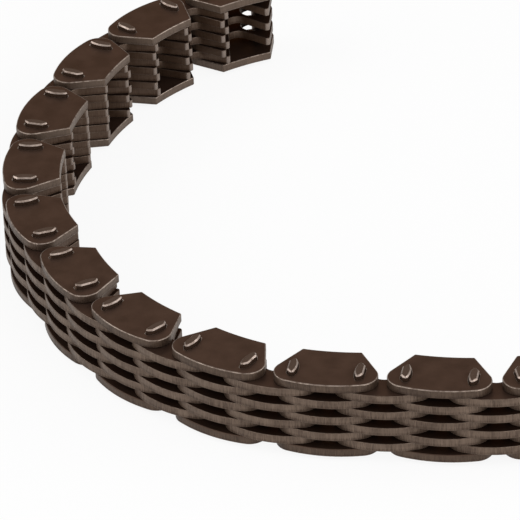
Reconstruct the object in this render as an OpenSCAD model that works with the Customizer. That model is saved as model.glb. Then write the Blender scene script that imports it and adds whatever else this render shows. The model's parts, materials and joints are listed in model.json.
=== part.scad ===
// Strand of silent chain (inverted tooth chain) with rocker joints, lying on its side in an open bend.
// Guide links and inner links take turns. Their plates interleave in one stack.
// A guide link holds two outer guide plates, the even toothed plates and two long rocker pins.
// An inner link holds the odd toothed plates and two short rockers.
// In a link's own frame x runs from its first joint to its second and y points to the smooth back.

/* [Chain] */
// Distance between neighbouring joints
pitch = 9.525; // [8.5:0.005:12.7]
// Toothed plates in each inner link
inner_plates = 4; // [2:1:6]
// Thickness of every plate
plate_t = 1.55; // [1:0.05:2.5]
// Running clearance between stacked plates
stack_gap = 0.04; // [0.02:0.01:0.1]

/* [Plate outline] */
// Height of the back above the pitch line, at mid link
back_rise = 4.45; // [4.2:0.05:6]
// How far the outer flanks lie beyond the joints, on the pitch line
end_reach = 4.27; // [4:0.05:4.5]
// Lean of the outer flanks from square to the chain
flank_angle = 32.5; // [29:0.5:34]

/* [Guide plates] */
// Crown radius of the back of a guide plate
guide_back_radius = 24; // [20:0.5:40]
// Radius of the shoulders of a guide plate
guide_shoulder_radius = 3.1; // [2:0.1:3.3]
// Depth of the inner corners of a guide plate below the pitch line
guide_depth = 6.3; // [5:0.05:7]
// Hollow of the inner edge of a guide plate
guide_hollow = 0.3; // [0.2:0.05:1.2]
// Radius of the inner corners of a guide plate
guide_corner_radius = 0.35; // [0.15:0.05:0.7]

/* [Toothed plates] */
// Crown radius of the back of a toothed plate
tooth_back_radius = 17.5; // [15:0.5:24]
// Radius of the shoulders of a toothed plate
tooth_shoulder_radius = 3.5; // [3:0.1:3.6]
// Depth of the crotch between the two toes, below the pitch line
crotch_depth = 0.7; // [0.5:0.05:1.2]
// Radius of the crotch
crotch_radius = 2.2; // [1.6:0.05:2.4]
// Lean of the inner flanks from square to the chain
crotch_angle = 28.5; // [26:0.5:31]
// Radius of the toe tips
toe_radius = 0.55; // [0.3:0.05:0.7]

/* [Rocker joint] */
// Thickness of a rocker along the chain
rocker_t = 1.6; // [1.3:0.05:1.8]
// Height of a rocker across the plates
rocker_h = 4.3; // [3.6:0.05:4.6]
// Radius of the rolling faces
rolling_radius = 5; // [4:0.1:6]
// Gap between the two rolling faces of a joint
rolling_gap = 0.14; // [0.1:0.01:0.3]
// Width of the flat on the back of a rocker
rocker_flat = 2.6; // [2:0.05:3]
// Width of the bevels on the back of a rocker, along the chain
rocker_bevel = 0.65; // [0.4:0.05:0.8]
// How far the long pins stand proud of the guide plates
pin_proud = 0.85; // [0.4:0.05:1.2]
// Clearance between a rocker and its own seat
seat_clearance = 0.03; // [0.02:0.01:0.06]
// Clearance round the neighbour's rocker as it swings
swing_clearance = 0.13; // [0.08:0.01:0.2]

/* [Hidden] */
// Inward bend of each joint as the strand lies, from its near end, in degrees
rest_bend = [8, 10, -2, 3, 9, 14, 5, 9, 8, 10, 2, 4, 14, 8, 3, 11, 4, 5, 10, 8, 9, 10];
// Heading of the link that lies along the frame's x axis, and its place in the strand
straight_heading = 180;
straight_link = 2;

link_count = len(rest_bend) + 1;
guide_links = ceil(link_count / 2);
inner_links = floor(link_count / 2);

// Heights in the stack
layer_count = 2 * inner_plates + 1;
layer_step = plate_t + stack_gap;
pin_length = 2 * pin_proud + (layer_count - 1) * layer_step + plate_t;
function layer_z(i) = pin_proud + i * layer_step;

// Outward normal and upward direction of the right outer flank, and its distance from the link's middle
flank_normal = [cos(flank_angle), -sin(flank_angle)];
flank_up = [sin(flank_angle), cos(flank_angle)];
flank_offset = cos(flank_angle) * (pitch / 2 + end_reach);

// How far a round corner stands past the edges that it blends, so that they cross cleanly
blend_overlap = 0.004;

// Centre of a back's arc, for its crown radius
function back_centre(crown) = [0, back_rise - crown];

// Centre of a right shoulder, which touches the back's arc and the outer flank, for both radii
function shoulder_centre(crown, shoulder) =
    let(
        side = flank_offset - shoulder,
        along = side - flank_normal * back_centre(crown),
        up = flank_up * back_centre(crown) + sqrt(pow(crown - shoulder, 2) - pow(along, 2))
    )
    side * flank_normal + up * flank_up;
function shoulder_on_flank(crown, shoulder) = shoulder_centre(crown, shoulder) + shoulder * flank_normal;
function shoulder_on_back(crown, shoulder) =
    back_centre(crown) + (shoulder_centre(crown, shoulder) - back_centre(crown)) * crown / (crown - shoulder);

// Crotch between the toes, and the normal of the right inner flank, which points into the crotch
crotch_centre = [0, -crotch_depth - crotch_radius];
inner_normal = [-cos(crotch_angle), -sin(crotch_angle)];
crotch_on_flank = crotch_centre - crotch_radius * inner_normal;

// Centre of the right toe tip, which touches the outer and the inner flank
toe_outer = flank_offset - toe_radius;
toe_inner = inner_normal * crotch_on_flank - toe_radius;
flank_cross = flank_normal[0] * inner_normal[1] - flank_normal[1] * inner_normal[0];
toe_centre = [
    (toe_outer * inner_normal[1] - flank_normal[1] * toe_inner) / flank_cross,
    (flank_normal[0] * toe_inner - inner_normal[0] * toe_outer) / flank_cross
];

// Inner corner of a guide plate, before it is rounded, and the arc of its hollow inner edge
guide_corner = [pitch / 2 + end_reach - guide_depth * tan(flank_angle), -guide_depth];
hollow_radius = (pow(guide_corner[0], 2) + pow(guide_hollow, 2)) / (2 * guide_hollow);
hollow_centre = [0, guide_hollow - guide_depth - hollow_radius];

// Centre of the right corner's rounding, which touches the outer flank and the hollow edge
corner_side = flank_offset - guide_corner_radius;
corner_reach = hollow_radius + guide_corner_radius;
corner_along = corner_side - flank_normal * hollow_centre;
corner_up = flank_up * hollow_centre + sqrt(pow(corner_reach, 2) - pow(corner_along, 2));
corner_centre = corner_side * flank_normal + corner_up * flank_up;
corner_on_flank = corner_centre + guide_corner_radius * flank_normal;
// The guide plate's blank runs on below the corners, and the hollow cuts it there
guide_blank_foot = corner_centre - [0, 2 * guide_corner_radius + guide_hollow];

// Rocker profile, measured from the joint's centre towards the end of its own link
rolling_centre = [rolling_gap / 2 + rolling_radius, 0];
rocker_back = rolling_gap / 2 + rocker_t;
rocker_end = rocker_back - rocker_bevel;
// Turn of the bevels away from the flat
bevel_turn = atan2(rocker_bevel, (rocker_h - rocker_flat) / 2);
swing_radius = norm([rocker_end, rocker_h / 2]) + swing_clearance;
// How far the swing room reaches past the joint's centre, on the seat's side
swing_past = 0.25;

// Headings of the links and places of the joints, before the strand is centred
first_heading = straight_heading + bend_sum(straight_link);
function bend_sum(k) = k == 0 ? 0 : rest_bend[k - 1] + bend_sum(k - 1);
function heading(k) = first_heading - bend_sum(k);
function link_run(k) = pitch * [cos(heading(k)), sin(heading(k))];
function laid_joint(k) = k == 0 ? [0, 0] : laid_joint(k - 1) + link_run(k - 1);
function laid_middle(k) = laid_joint(k) + link_run(k) / 2;

// Reach of a link's outline in a direction of its own frame: backs, shoulders, toes and guide corners
function round_reach(centre, radius, way) = abs(centre[0] * way[0]) + centre[1] * way[1] + radius;
function faces_back(crown, shoulder, way) =
    way[1] > 0 && abs(way[0]) * crown < shoulder_on_back(crown, shoulder)[0];
function back_reach(crown, shoulder, way) =
    faces_back(crown, shoulder, way)
        ? back_centre(crown) * way + crown
        : round_reach(shoulder_centre(crown, shoulder), shoulder, way);
function tooth_reach(way) =
    max(back_reach(tooth_back_radius, tooth_shoulder_radius, way), round_reach(toe_centre, toe_radius, way));
function guide_reach(way) =
    max(
        back_reach(guide_back_radius, guide_shoulder_radius, way),
        round_reach(corner_centre, guide_corner_radius, way)
    );
function link_reach(k, angle) =
    let(way = [cos(angle - heading(k)), sin(angle - heading(k))])
    k % 2 == 0 ? max(tooth_reach(way), guide_reach(way)) : tooth_reach(way);
function strand_reach(angle) =
    max([
        for (k = [0 : link_count - 1])
            laid_middle(k) * [cos(angle), sin(angle)] + link_reach(k, angle)
    ]);
strand_centre = [strand_reach(0) - strand_reach(180), strand_reach(90) - strand_reach(270)] / 2;

// The strand rests on the ends of its long pins, with the middle of its box over the origin
function joint_place(k) = laid_joint(k) - strand_centre;
function link_place(k) = laid_middle(k) - strand_centre;

plate_brown = [0.26, 0.19, 0.16];
guide_brown = [0.29, 0.21, 0.18];
pin_grey = [0.42, 0.37, 0.33];

function numbered(name, i) = str(name, i < 9 ? "_0" : "_", i + 1);
guide_numbers = [0 : guide_links - 1];
inner_numbers = [0 : inner_links - 1];

$fn = 48;

// Points of a half outline on the right, followed by their mirror image
function left_side(half) = [for (i = [len(half) - 1 : -1 : 0]) [-half[i][0], half[i][1]]];
function both_sides(half) = concat(half, left_side(half));

// Sets its children at both joints of a link, the second one mirrored
module at_both_joints() {
    for (side = [0, 1]) {
        mirror([side, 0]) translate([pitch / 2, 0]) children();
    }
}

// Six-sided outline round the back of a rocker, opened by a clearance
module rocker_outline(clearance) {
    flat_half = rocker_flat / 2 + clearance * tan(bevel_turn / 2);
    end_x = rocker_end + clearance * tan((90 - bevel_turn) / 2);
    top = rocker_h / 2 + clearance;
    polygon([
        [0, -top],
        [end_x, -top],
        [rocker_back + clearance, -flat_half],
        [rocker_back + clearance, flat_half],
        [end_x, top],
        [0, top]
    ]);
}

// Whole section of a rocker: the six-sided back and the round rolling face
module rocker_section(clearance) {
    intersection() {
        rocker_outline(clearance);
        translate(rolling_centre) circle(rolling_radius + clearance);
    }
}

// Opening in a toothed plate: the seat of its own rocker and the swing room of the neighbour's
module aperture() {
    rocker_outline(seat_clearance);
    intersection() {
        circle(swing_radius);
        translate([-2 * swing_radius, -2 * swing_radius])
            square([2 * swing_radius + swing_past, 4 * swing_radius]);
    }
}

// Back and shoulders over a half outline that ends the plate below
module plate_blank(crown, shoulder, lower_half) {
    centre = shoulder_centre(crown, shoulder);
    on_back = shoulder_on_back(crown, shoulder);
    intersection() {
        translate(back_centre(crown)) circle(crown);
        polygon(both_sides(concat(
            [[on_back[0], back_rise + shoulder], on_back, shoulder_on_flank(crown, shoulder)],
            lower_half
        )));
    }
    for (side = [-1, 1]) {
        translate([side * centre[0], centre[1]]) circle(shoulder + blend_overlap);
    }
}

// Toothed plate with two toes, a crotch between them and an aperture at each joint
module toothed_plate() {
    linear_extrude(plate_t) difference() {
        union() {
            plate_blank(tooth_back_radius, tooth_shoulder_radius, [
                toe_centre + toe_radius * flank_normal,
                toe_centre + toe_radius * inner_normal,
                crotch_on_flank
            ]);
            for (side = [-1, 1]) {
                translate([side * toe_centre[0], toe_centre[1]]) circle(toe_radius + blend_overlap);
            }
        }
        translate(crotch_centre) circle(crotch_radius + blend_overlap);
        at_both_joints() aperture();
    }
}

// Guide plate with a hollow inner edge and a seat for each long pin
module guide_plate() {
    linear_extrude(plate_t) difference() {
        union() {
            plate_blank(guide_back_radius, guide_shoulder_radius, [corner_on_flank, corner_centre, guide_blank_foot]);
            for (side = [-1, 1]) {
                translate([side * corner_centre[0], corner_centre[1]])
                    circle(guide_corner_radius + blend_overlap);
            }
        }
        translate(hollow_centre) circle(hollow_radius);
        at_both_joints() rocker_section(seat_clearance);
    }
}

// A pair of rockers between two heights
module rocker_pair(low, high) {
    translate([0, 0, low]) linear_extrude(high - low) at_both_joints() rocker_section(0);
}

// Carries a link from its own frame to its place in the strand
module laid(k) {
    translate(link_place(k)) rotate(heading(k)) children();
}

// The two outer plates that keep the strand on its sprocket
module guide_plates(i) {
    color(guide_brown) laid(2 * i) {
        for (layer = [0, layer_count - 1]) {
            translate([0, 0, layer_z(layer)]) guide_plate();
        }
    }
}

// The toothed plates of a guide link, in the even layers between its guide plates
module guide_link_plates(i) {
    color(plate_brown) laid(2 * i) {
        for (layer = [2 : 2 : layer_count - 3]) {
            translate([0, 0, layer_z(layer)]) toothed_plate();
        }
    }
}

// The long rocker pins, which run through the whole stack
module guide_pins(i) {
    color(pin_grey) laid(2 * i) rocker_pair(0, pin_length);
}

// The toothed plates of an inner link, in the odd layers
module inner_link_plates(i) {
    color(plate_brown) laid(2 * i + 1) {
        for (layer = [1 : 2 : layer_count - 2]) {
            translate([0, 0, layer_z(layer)]) toothed_plate();
        }
    }
}

// The short rockers, which end under the guide plates
module inner_rockers(i) {
    color(pin_grey) laid(2 * i + 1) rocker_pair(layer_z(1), layer_z(layer_count - 2) + plate_t);
}

for (i = guide_numbers) {
    guide_plates(i);
    guide_link_plates(i);
    guide_pins(i);
}
for (i = inner_numbers) {
    inner_link_plates(i);
    inner_rockers(i);
}
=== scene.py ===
"""Strand of silent chain, dressed for its picture.

Every plate, pin and rocker is a copy of its CAD solid. Plates have the rounded corners that
tumbling leaves, and pins and rockers have a plain chamfer round their ends.
Faces, cut edges and corners each have a finish of their own.
"""

import json
import math

import bmesh
import bpy
from mathutils import Matrix, Vector


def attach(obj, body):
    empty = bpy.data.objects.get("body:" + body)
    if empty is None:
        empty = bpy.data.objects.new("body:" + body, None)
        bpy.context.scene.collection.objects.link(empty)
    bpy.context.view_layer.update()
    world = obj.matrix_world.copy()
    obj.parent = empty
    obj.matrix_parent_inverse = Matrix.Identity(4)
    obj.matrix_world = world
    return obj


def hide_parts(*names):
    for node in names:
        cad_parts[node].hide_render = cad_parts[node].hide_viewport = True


MM = 0.001

# Heights of the stack of plates in millimetres, as in the CAD source
FIRST_PLATE_Z = 0.85
LAYER_STEP = 1.59
STACK_MIDDLE_Z = 7.985

# Distances from the middle of the stack, in millimetres, inside the thickness of a plate
INSIDE_GUIDE_PLATE = (6.0, 6.6)
INSIDE_OUTER_TOOTHED_PLATE = (4.5, 5.0)

# Heights above a link's pitch line, in millimetres, over which the colour of a plate's edge changes to that of its
# flanks, and then to the worn steel and painted highlight of the tips of its teeth
FLANK_HEIGHTS = (1.0, -2.0)
TIP_HIGHLIGHT_HEIGHTS = (-6.0, -6.25)

# Heights in a cut edge, in millimetres, over which the rough broken band changes into the sheared one
BREAK_HEIGHTS = (0.42, 0.62)

# How much darker and rougher the broken band is, and the depth of the pits in the sheared band
BROKEN_SHADE = 0.22
BROKEN_ROUGHNESS = 0.12
SHEARED_PITS = 0.3

# Relief of a face's scratches beside that of its grain
SCRATCH_RELIEF = 0.5

# Rounding of the plates' corners
GUIDE_ROUNDING = 0.16 * MM
TOOTHED_ROUNDING = 0.1 * MM
PLATE_STEPS = 3

# Plain chamfer round the ends of pins and rockers
PIN_CHAMFER = 0.31 * MM
PIN_STEPS = 1

# In a copy of a CAD solid, points this near are one, edges this flat are dissolved, and sharper edges
# than the last are corners
SAME_POINT = 0.004 * MM
FLAT_EDGE = math.radians(0.3)
CORNER_EDGE = math.radians(50)

# Upright part of the normals: more on faces that look up or down, and less on walls
LEVEL_NORMAL = 0.99
WALL_NORMAL = 0.1

# Order of a piece's finishes
FACE, WALL, CORNER = range(3)

# Places in a link's own frame, in millimetres: x along the chain, y towards its smooth back
LINK_PLACE = "link_place"

# Where the picture was taken from
CAMERA_AZIMUTH = math.radians(-10.32)
CAMERA_ELEVATION = math.radians(31.94)
CAMERA_ROLL = math.radians(-2.44)
CAMERA_TARGET = Vector((-7.65, -21.36, 7.985)) * MM
CAMERA_DISTANCE = 875.9 * MM
CAMERA_LENS = 346.15
CAMERA_SENSOR = 36

# Soft light from the white studio all round, and the paper floor under the chain, which looks paler
# in the picture than it is for the light that it throws on the chain
STUDIO_LIGHT = 0.4
FLOOR_REACH = 3.0
FLOOR_GREY = 0.55
FLOOR_GREY_SEEN = 0.95
FLOOR_ROUGHNESS = 0.9
FLOOR_GLOW = 0.9

# Lamps: name, place and size in metres, power in watts
SOFTBOXES = (
    ("right_softbox", (0.75, 0.1, 0.34), (0.6, 0.45), 2.6),
    ("left_softbox", (-0.74, -0.12, 0.5), (0.7, 0.45), 2.8),
    ("front_left_softbox", (-0.45, -0.76, 0.13), (0.5, 0.25), 1.8),
    ("front_right_softbox", (0.5, -0.72, 0.13), (0.5, 0.25), 1.9),
    ("top_softbox", (0.3, -0.35, 0.5), (0.6, 0.5), 1.2),
)


def srgb(red, green, blue):
    """Colour for a shader socket from the 0 to 255 numbers of a picture."""
    linear = []
    for value in (red, green, blue):
        value /= 255
        linear.append(value / 12.92 if value <= 0.04045 else ((value + 0.055) / 1.055) ** 2.4)
    return (*linear, 1.0)


WHITE = (1, 1, 1, 1)

# Colours of reflections at a low angle
BROWN_SHEEN = srgb(196, 178, 168)
GREY_SHEEN = srgb(232, 229, 225)

# Painted shade between the plates, scratched oxide, pale specks of steel in a cut edge painted as bright as
# glints, and pale tips of teeth that are worn steel and a painted highlight
PAINTED_GAP_SHADE = srgb(20, 6, 1)
SCRATCHED_OXIDE = srgb(100, 82, 70)
BARE_SPECK_GLINT = srgb(150, 136, 124)
WORN_TIP_HIGHLIGHT = srgb(150, 137, 128)

# Range of a grain's usual values
GRAIN_RANGE = (0.3, 0.7)


# Nodes


def plug(tree, value, socket):
    """Gives a socket a fixed value or the output of another node."""
    if isinstance(value, bpy.types.NodeSocket):
        tree.links.new(value, socket)
    else:
        socket.default_value = value


def add_node(tree, kind, inputs, **settings):
    """A new node with its settings made and its inputs, by name or number, given their values."""
    made = tree.nodes.new(kind)
    for name, value in settings.items():
        setattr(made, name, value)
    for name, value in inputs.items():
        plug(tree, value, made.inputs[name])
    return made


def blend_colours(tree, factor, first, second):
    inputs = {0: factor, 6: first, 7: second}
    return add_node(tree, "ShaderNodeMix", inputs, data_type="RGBA").outputs[2]


def ranged(tree, value, span, to=(0.0, 1.0)):
    """Carries a value from one range to another and holds it inside."""
    inputs = {
        "Value": value,
        "From Min": span[0],
        "From Max": span[1],
        "To Min": to[0],
        "To Max": to[1],
    }
    return add_node(tree, "ShaderNodeMapRange", inputs).outputs["Result"]


def calculated(tree, operation, first, second=0.0):
    return add_node(tree, "ShaderNodeMath", {0: first, 1: second}, operation=operation).outputs[0]


def place_in_mm(tree, stretch=(1, 1, 1), turn=0.0):
    """Object coordinates in millimetres, stretched and turned for a pattern."""
    place = tree.nodes.new("ShaderNodeTexCoord").outputs["Object"]
    inputs = {"Vector": place, "Scale": [s / MM for s in stretch], "Rotation": (0, 0, turn)}
    return add_node(tree, "ShaderNodeMapping", inputs).outputs["Vector"]


def grain(tree, place, per_mm, detail, roughness):
    inputs = {"Vector": place, "Scale": per_mm, "Detail": detail, "Roughness": roughness}
    return add_node(tree, "ShaderNodeTexNoise", inputs).outputs["Fac"]


def height_in_stack(tree):
    """Height above the floor at rest, in millimetres."""
    return add_node(tree, "ShaderNodeSeparateXYZ", {"Vector": place_in_mm(tree)}).outputs["Z"]


def height_on_link(tree):
    """Height above the link's pitch line, towards its smooth back, in millimetres."""
    place = add_node(tree, "ShaderNodeAttribute", {}, attribute_name=LINK_PLACE).outputs["Vector"]
    return add_node(tree, "ShaderNodeSeparateXYZ", {"Vector": place}).outputs["Y"]


def outside_of_stack(tree, span):
    """0 nearer to the middle of the stack than a span of distances and 1 further out."""
    from_middle = calculated(tree, "SUBTRACT", height_in_stack(tree), STACK_MIDDLE_Z)
    return ranged(tree, calculated(tree, "ABSOLUTE", from_middle), span)


def bump(tree, shader, height, depth, strength):
    """Small relief from a height, with its depth in millimetres."""
    inputs = {"Height": height, "Distance": depth * MM, "Strength": strength}
    plug(tree, add_node(tree, "ShaderNodeBump", inputs).outputs["Normal"], shader.inputs["Normal"])


# Finishes


def new_finish(name, metal, sheen, gloss=0.2):
    """A material with a bare surface shader, ready for its pattern.

    The sheen is the colour of its reflections at a low angle, and the gloss their strength.
    """
    finish = bpy.data.materials.new(name)
    finish.use_nodes = True
    tree = finish.node_tree
    shader = tree.nodes["Principled BSDF"]
    shader.inputs["Metallic"].default_value = metal
    shader.inputs["Specular IOR Level"].default_value = gloss
    shader.inputs["Specular Tint"].default_value = sheen
    return finish, tree, shader


def browned_face(name, dark, light, shading_plate, gap_shade_share):
    """Oiled brown oxide on a rolled face: soft clouds, fine grain and faint scratches.

    Faces nearer to the middle of the stack than the given plate take a share of painted shade, as dark as the gaps
    between the plates.
    """
    finish, tree, shader = new_finish(name, metal=0.5, sheen=BROWN_SHEEN, gloss=0.0)
    clouds = grain(tree, place_in_mm(tree), per_mm=0.28, detail=4.0, roughness=0.55)
    speck = grain(tree, place_in_mm(tree), per_mm=7.0, detail=2.0, roughness=0.6)
    slanted = place_in_mm(tree, stretch=(0.5, 9.0, 1), turn=math.radians(34))
    scratch = grain(tree, slanted, per_mm=1.0, detail=3.0, roughness=0.65)

    colour = blend_colours(tree, ranged(tree, clouds, (0.35, 0.65)), dark, light)
    scratched = ranged(tree, scratch, (0.64, 0.78), (0.0, 0.25))
    colour = blend_colours(tree, scratched, colour, SCRATCHED_OXIDE)
    # Painted shade: faces inside the stack darkened towards the dark of the gaps between the plates
    gap_shade = ranged(tree, outside_of_stack(tree, shading_plate), (0.0, 1.0), (gap_shade_share, 0.0))
    plug(tree, blend_colours(tree, gap_shade, colour, PAINTED_GAP_SHADE), shader.inputs["Base Color"])

    cloud_roughness = ranged(tree, clouds, GRAIN_RANGE, (0.26, 0.36))
    speck_roughness = ranged(tree, speck, GRAIN_RANGE, (0.0, 0.08))
    roughness = calculated(tree, "ADD", cloud_roughness, speck_roughness)
    plug(tree, roughness, shader.inputs["Roughness"])
    height = calculated(tree, "ADD", calculated(tree, "MULTIPLY", scratch, SCRATCH_RELIEF), speck)
    bump(tree, shader, height, depth=0.012, strength=0.2)
    return finish


def blanked_edge(name, dark, light, flank, flank_share, tip_highlight_share):
    """Cut edge of a blanked plate: upright shear lines over a rougher broken band.

    Below the pitch line the edge takes a share of the flank's colour, and at the tips of the teeth a share of a
    pale colour that is worn steel and a painted highlight.
    """
    finish, tree, shader = new_finish(name, metal=0.45, sheen=GREY_SHEEN, gloss=0.5)
    upright = place_in_mm(tree, stretch=(5.5, 5.5, 0.45))
    lines = grain(tree, upright, per_mm=1.0, detail=4.0, roughness=0.7)
    speck = grain(tree, place_in_mm(tree), per_mm=9.0, detail=3.0, roughness=0.65)
    clouds = grain(tree, place_in_mm(tree), per_mm=0.35, detail=2.0, roughness=0.5)

    above_first = calculated(tree, "SUBTRACT", height_in_stack(tree), FIRST_PLATE_Z)
    waver = ranged(tree, lines, GRAIN_RANGE, (-0.12, 0.12))
    in_layer = calculated(tree, "ADD", calculated(tree, "MODULO", above_first, LAYER_STEP), waver)
    broken = ranged(tree, in_layer, BREAK_HEIGHTS, (1.0, 0.0))

    line_shade = ranged(tree, lines, (0.32, 0.68), (0.0, 0.65))
    cloud_shade = ranged(tree, clouds, GRAIN_RANGE, (-0.1, 0.3))
    shade = calculated(tree, "ADD", line_shade, cloud_shade)
    broken_shade = calculated(tree, "MULTIPLY", broken, BROKEN_SHADE)
    shade = calculated(tree, "SUBTRACT", shade, broken_shade)
    colour = blend_colours(tree, ranged(tree, shade, (0.0, 1.0)), dark, light)
    # Painted glints: pale specks of steel in the cut edge, as bright as glints
    bare_and_highlight = ranged(tree, speck, (0.62, 0.76), (0.0, 0.45))
    colour = blend_colours(tree, bare_and_highlight, colour, BARE_SPECK_GLINT)
    up = height_on_link(tree)
    on_flank = ranged(tree, up, FLANK_HEIGHTS, (0.0, flank_share))
    colour = blend_colours(tree, on_flank, colour, flank)
    # Painted highlight, with worn steel, on the tips of the teeth
    tip_highlight = ranged(tree, up, TIP_HIGHLIGHT_HEIGHTS, (0.0, tip_highlight_share))
    plug(tree, blend_colours(tree, tip_highlight, colour, WORN_TIP_HIGHLIGHT), shader.inputs["Base Color"])

    line_roughness = ranged(tree, lines, GRAIN_RANGE, (0.52, 0.36))
    broken_roughness = calculated(tree, "MULTIPLY", broken, BROKEN_ROUGHNESS)
    roughness = calculated(tree, "ADD", line_roughness, broken_roughness)
    plug(tree, roughness, shader.inputs["Roughness"])
    pit_depth = calculated(tree, "ADD", broken, SHEARED_PITS)
    pitted = calculated(tree, "MULTIPLY", speck, pit_depth)
    bump(tree, shader, calculated(tree, "ADD", lines, pitted), depth=0.03, strength=0.3)
    return finish


def worn_and_highlit_corner(name, brown, bare_and_highlight, sheltered=False):
    """Corner where the oxide is worn through to steel in a broken line; its pale colour is also a painted
    highlight along the rim.

    Sheltered corners are worn and painted pale only at the outside of the stack and on the flanks, which run
    beside the sprocket, and stay brown elsewhere.
    """
    finish, tree, shader = new_finish(name, metal=0.7, sheen=GREY_SHEEN)
    wear_and_highlight_grain = grain(tree, place_in_mm(tree), per_mm=1.1, detail=4.0, roughness=0.6)
    speck = grain(tree, place_in_mm(tree), per_mm=8.0, detail=2.0, roughness=0.6)
    line_wear_and_highlight = ranged(tree, wear_and_highlight_grain, (0.32, 0.6), (0.25, 1.0))
    speck_wear_and_highlight = ranged(tree, speck, (0.35, 0.7), (-0.25, 0.15))
    worn_and_highlit = calculated(tree, "ADD", line_wear_and_highlight, speck_wear_and_highlight)
    if sheltered:
        outside = outside_of_stack(tree, INSIDE_GUIDE_PLATE)
        by_sprocket = ranged(tree, height_on_link(tree), FLANK_HEIGHTS)
        open_to_wear_and_highlight = calculated(tree, "MAXIMUM", outside, by_sprocket)
        worn_and_highlit = calculated(tree, "MULTIPLY", worn_and_highlit, open_to_wear_and_highlight)
    # Painted highlight, with worn steel, along the rims of the corners
    colour = blend_colours(tree, ranged(tree, worn_and_highlit, (0.0, 1.0)), brown, bare_and_highlight)
    plug(tree, colour, shader.inputs["Base Color"])
    plug(tree, ranged(tree, worn_and_highlit, (0.0, 1.0), (0.42, 0.28)), shader.inputs["Roughness"])
    bump(tree, shader, speck, depth=0.01, strength=0.2)
    return finish


def drawn_steel(name, metal, dark, light, stretch):
    """Rocker stock with its drawing lines, stretched along them."""
    finish, tree, shader = new_finish(name, metal, BROWN_SHEEN)
    lines = grain(tree, place_in_mm(tree, stretch), per_mm=1.0, detail=3.0, roughness=0.6)
    speck = grain(tree, place_in_mm(tree), per_mm=6.0, detail=3.0, roughness=0.6)
    line_shade = ranged(tree, lines, GRAIN_RANGE, (0.0, 0.7))
    speck_shade = ranged(tree, speck, (0.35, 0.7), (0.0, 0.35))
    shade = calculated(tree, "ADD", line_shade, speck_shade)
    colour = blend_colours(tree, ranged(tree, shade, (0.0, 1.0)), dark, light)
    plug(tree, colour, shader.inputs["Base Color"])
    plug(tree, ranged(tree, speck, GRAIN_RANGE, (0.28, 0.42)), shader.inputs["Roughness"])
    bump(tree, shader, lines, depth=0.015, strength=0.3)
    return finish


# Pieces


def link_frames():
    """For each link, the matrix from the strand's frame to one that starts at the link's middle."""
    ends = {mount["name"]: mount["pos_m"] for mount in frame["record"]["mounts"]}
    joints = sorted(frame["joints"], key=lambda joint: joint["name"])
    places = [ends["near_end_joint"], *(joint["pos_m"] for joint in joints), ends["far_end_joint"]]
    places = [Vector((place[0], place[1], 0)) for place in places]
    frames = {}
    for k, (first, second) in enumerate(zip(places, places[1:])):
        body = f"inner_link_{k // 2 + 1:02d}" if k % 2 else f"guide_link_{k // 2 + 1:02d}"
        heading = math.atan2(second.y - first.y, second.x - first.x)
        place = Matrix.Translation((first + second) / 2) @ Matrix.Rotation(heading, 4, "Z")
        frames[body] = place.inverted()
    return frames


def finish_number(face):
    """Which of a piece's finishes a face has: that of level faces, of walls or of corners."""
    upright = abs(face.normal.z)
    if upright > LEVEL_NORMAL:
        return FACE
    return WALL if upright < WALL_NORMAL else CORNER


def tumbled(node, body, rounding, steps, finishes):
    """Stands a copy of a CAD node with rounded corners in the node's place.

    One step makes a plain chamfer, which is shaded flat.
    """
    solid = bmesh.new()
    solid.from_mesh(frame["nodes"][node].data)
    bmesh.ops.remove_doubles(solid, verts=solid.verts, dist=SAME_POINT)
    bmesh.ops.dissolve_limit(solid, angle_limit=FLAT_EDGE, verts=solid.verts, edges=solid.edges)
    corners = [edge for edge in solid.edges if edge.calc_face_angle(0) > CORNER_EDGE]
    bmesh.ops.bevel(
        solid,
        geom=corners,
        affect="EDGES",
        offset=rounding,
        offset_type="OFFSET",
        segments=steps,
        profile=0.5,
        material=-1,
        clamp_overlap=True,
    )
    solid.normal_update()
    for face in solid.faces:
        face.material_index = finish_number(face)
        face.smooth = steps > 1 or face.material_index != CORNER
    mesh = bpy.data.meshes.new(node + "_tumbled")
    solid.to_mesh(mesh)
    solid.free()

    on_link = mesh.attributes.new(LINK_PLACE, "FLOAT_VECTOR", "POINT")
    for vertex, value in zip(mesh.vertices, on_link.data):
        value.vector = to_link[body] @ vertex.co / MM
    for finish in finishes:
        mesh.materials.append(finish)
    piece = bpy.data.objects.new(mesh.name, mesh)
    bpy.context.scene.collection.objects.link(piece)
    weighted = piece.modifiers.new("flat_faces", "WEIGHTED_NORMAL")
    weighted.keep_sharp = True
    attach(piece, body)
    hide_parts(node)


# Studio


def softbox(name, place, size, power):
    """A lamp that looks at the middle of the picture."""
    lamp = bpy.data.lights.new(name, "AREA")
    lamp.shape = "RECTANGLE"
    lamp.size, lamp.size_y = size
    lamp.energy = power
    box = bpy.data.objects.new(name, lamp)
    bpy.context.scene.collection.objects.link(box)
    box.location = place
    box.rotation_euler = (CAMERA_TARGET - Vector(place)).to_track_quat("-Z", "Y").to_euler()


def background_share(tree):
    """1 for rays that should see the plain white background, 0 for those that light the object."""
    path = tree.nodes.new("ShaderNodeLightPath").outputs
    seen = calculated(tree, "MAXIMUM", path["Is Camera Ray"], path["Is Glossy Ray"])
    return calculated(tree, "MAXIMUM", seen, path["Is Transmission Ray"])


def white_studio():
    """Soft even light all round that shows as white."""
    world = bpy.data.worlds.new("white_studio")
    world.use_nodes = True
    tree = world.node_tree
    light = tree.nodes["Background"]
    plug(tree, WHITE, light.inputs["Color"])
    strength = ranged(tree, background_share(tree), (0.0, 1.0), (STUDIO_LIGHT, 1.0))
    plug(tree, strength, light.inputs["Strength"])
    bpy.context.scene.world = world


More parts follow.
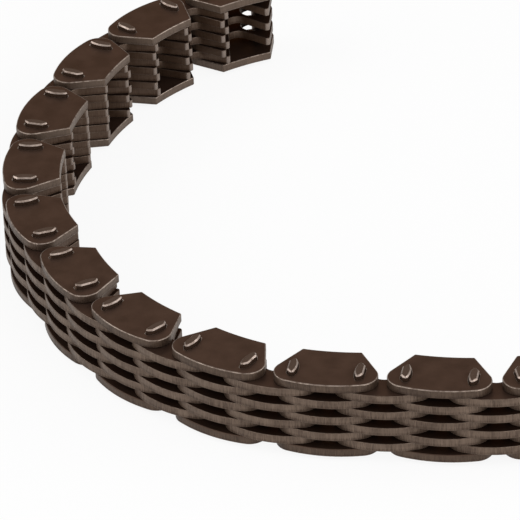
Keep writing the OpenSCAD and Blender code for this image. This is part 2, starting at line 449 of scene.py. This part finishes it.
def pale_floor():
    """Paper that shows as nearly white and keeps the chain's shadow."""
    sheet = bmesh.new()
    bmesh.ops.create_grid(sheet, x_segments=1, y_segments=1, size=FLOOR_REACH)
    mesh = bpy.data.meshes.new("pale_floor")
    sheet.to_mesh(mesh)
    sheet.free()
    finish, tree, shader = new_finish("pale_paper", metal=0.0, sheen=WHITE)
    seen = background_share(tree)
    grey = ranged(tree, seen, (0.0, 1.0), (FLOOR_GREY, FLOOR_GREY_SEEN))
    plug(tree, grey, shader.inputs["Base Color"])
    shader.inputs["Roughness"].default_value = FLOOR_ROUGHNESS
    glow = add_node(tree, "ShaderNodeEmission", {"Color": WHITE, "Strength": 1.0})
    share = calculated(tree, "MULTIPLY", seen, FLOOR_GLOW)
    inputs = {0: share, 1: shader.outputs[0], 2: glow.outputs[0]}
    mixed = add_node(tree, "ShaderNodeMixShader", inputs)
    plug(tree, mixed.outputs[0], tree.nodes["Material Output"].inputs["Surface"])
    mesh.materials.append(finish)
    floor = bpy.data.objects.new("pale_floor", mesh)
    bpy.context.scene.collection.objects.link(floor)


def photo_camera():
    across = math.cos(CAMERA_ELEVATION)
    ahead = Vector((
        math.sin(CAMERA_AZIMUTH) * across,
        math.cos(CAMERA_AZIMUTH) * across,
        -math.sin(CAMERA_ELEVATION),
    ))
    turn = ahead.to_track_quat("-Z", "Y").to_matrix() @ Matrix.Rotation(CAMERA_ROLL, 3, "Z")
    lens = bpy.data.cameras.new("photo_camera")
    lens.sensor_width = CAMERA_SENSOR
    lens.lens = CAMERA_LENS
    camera = bpy.data.objects.new("photo_camera", lens)
    bpy.context.scene.collection.objects.link(camera)
    place = Matrix.Translation(CAMERA_TARGET - CAMERA_DISTANCE * ahead)
    camera.matrix_world = place @ turn.to_4x4()
    bpy.context.scene.camera = camera


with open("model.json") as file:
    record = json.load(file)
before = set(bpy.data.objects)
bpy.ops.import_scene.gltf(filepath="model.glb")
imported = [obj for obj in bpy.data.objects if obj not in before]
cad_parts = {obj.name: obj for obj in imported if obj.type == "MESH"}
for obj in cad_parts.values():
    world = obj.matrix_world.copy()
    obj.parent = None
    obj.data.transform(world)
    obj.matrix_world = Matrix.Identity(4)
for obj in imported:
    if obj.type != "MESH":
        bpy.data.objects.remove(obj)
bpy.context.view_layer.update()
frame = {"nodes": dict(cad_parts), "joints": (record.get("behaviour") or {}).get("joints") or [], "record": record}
to_link = link_frames()

guide_finishes = (
    browned_face(
        "guide_face",
        dark=srgb(66, 51, 43),
        light=srgb(75, 58, 49),
        shading_plate=INSIDE_GUIDE_PLATE,
        gap_shade_share=0.45,
    ),
    blanked_edge(
        "guide_edge",
        dark=srgb(50, 36, 27),
        light=srgb(92, 75, 62),
        flank=srgb(124, 107, 94),
        flank_share=0.3,
        tip_highlight_share=0.0,
    ),
    worn_and_highlit_corner("guide_corner", brown=srgb(66, 51, 42), bare_and_highlight=srgb(140, 126, 116), sheltered=True),
)
toothed_finishes = (
    browned_face(
        "toothed_face",
        dark=srgb(63, 48, 41),
        light=srgb(72, 55, 46),
        shading_plate=INSIDE_OUTER_TOOTHED_PLATE,
        gap_shade_share=0.6,
    ),
    blanked_edge(
        "toothed_edge",
        dark=srgb(62, 47, 37),
        light=srgb(121, 103, 89),
        flank=srgb(65, 43, 26),
        flank_share=0.65,
        tip_highlight_share=0.6,
    ),
    worn_and_highlit_corner("toothed_corner", brown=srgb(64, 50, 41), bare_and_highlight=srgb(100, 86, 76)),
)
rocker_finishes = (
    drawn_steel(
        "rocker_end",
        metal=0.65,
        dark=srgb(64, 49, 40),
        light=srgb(84, 69, 59),
        stretch=(2.5, 9.0, 1.0),
    ),
    drawn_steel(
        "rocker_side",
        metal=0.5,
        dark=srgb(50, 37, 29),
        light=srgb(70, 54, 44),
        stretch=(12.0, 12.0, 0.35),
    ),
    worn_and_highlit_corner("rocker_rim", brown=srgb(100, 85, 75), bare_and_highlight=srgb(152, 138, 129)),
)

for body, nodes in frame["record"]["behaviour"]["bodies"].items():
    for node in nodes:
        if node.startswith("guide_plates"):
            tumbled(node, body, GUIDE_ROUNDING, PLATE_STEPS, guide_finishes)
        elif node.startswith(("guide_link_plates", "inner_link_plates")):
            tumbled(node, body, TOOTHED_ROUNDING, PLATE_STEPS, toothed_finishes)
        else:
            tumbled(node, body, PIN_CHAMFER, PIN_STEPS, rocker_finishes)

white_studio()
pale_floor()
for name, place, size, power in SOFTBOXES:
    softbox(name, place, size, power)
photo_camera()
bpy.context.scene.view_settings.view_transform = "Standard"
